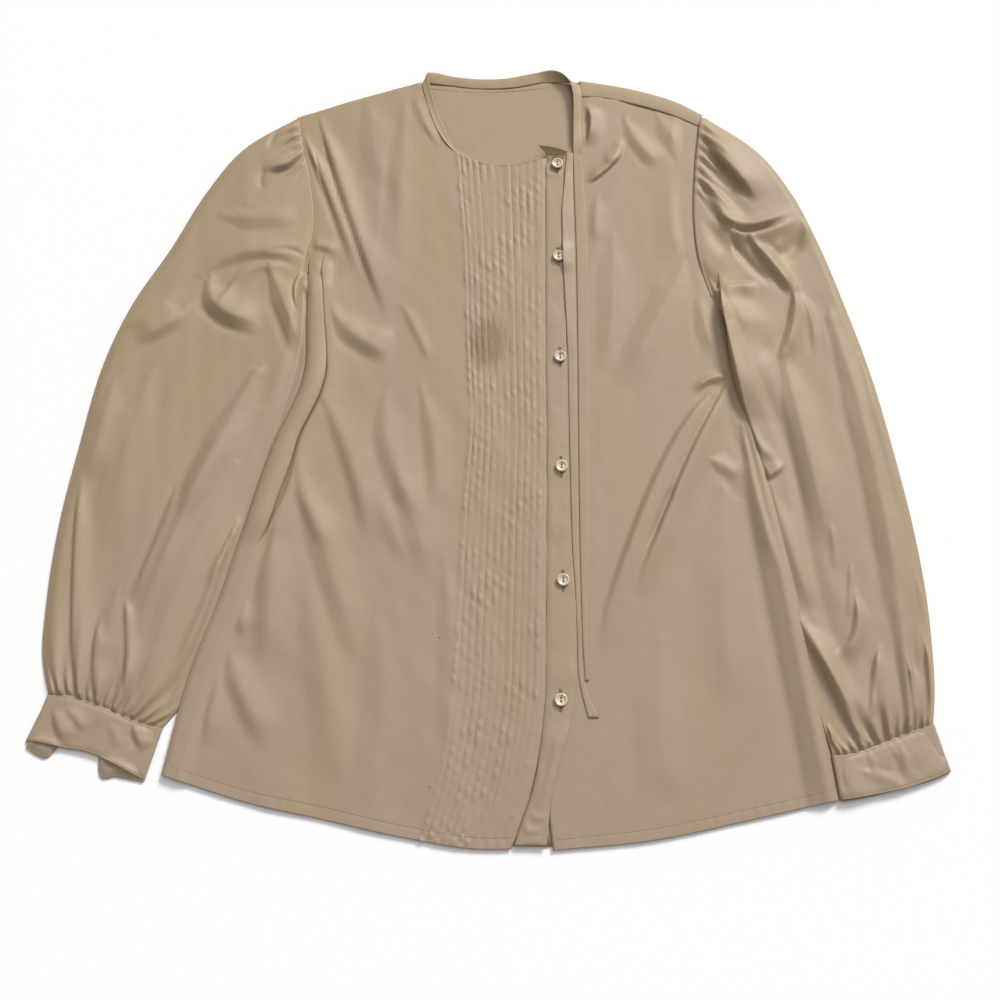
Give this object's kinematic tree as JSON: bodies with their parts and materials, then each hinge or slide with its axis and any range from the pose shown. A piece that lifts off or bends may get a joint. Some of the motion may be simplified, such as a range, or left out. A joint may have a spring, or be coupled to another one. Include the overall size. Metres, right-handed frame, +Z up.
{
  "type": "satin blouse laid flat",
  "caption": "Long-sleeved satin blouse laid flat, front up, with a pintucked front, a buttoned band, gathered sleeves with cuffs and two neck ties.",
  "frame": {"origin": "on the surface the blouse lies on, under the middle of its outline box", "axes": "+Z up from the surface out of the blouse's front, +Y from the hem to the neck, +X to the wearer's left"},
  "size_m": [0.722, 0.7, 0.0112],
  "materials": {
    "satin": "soft satin sheen, champagne beige, slightly stained",
    "button": "glossy, pearl-like"
  },
  "bodies": {
    "root": {"back": "satin", "front_right": "satin", "front_left": "satin", "sleeve_right": "satin", "sleeve_left": "satin", "cuff_right": "satin", "cuff_left": "satin", "front_band": "satin", "neck_band": "satin", "tie_right": "satin", "tie_left": "satin", "button_1": "button", "button_2": "button", "button_3": "button", "button_4": "button", "button_5": "button", "button_6": "button"}
  },
  "joints": []
}
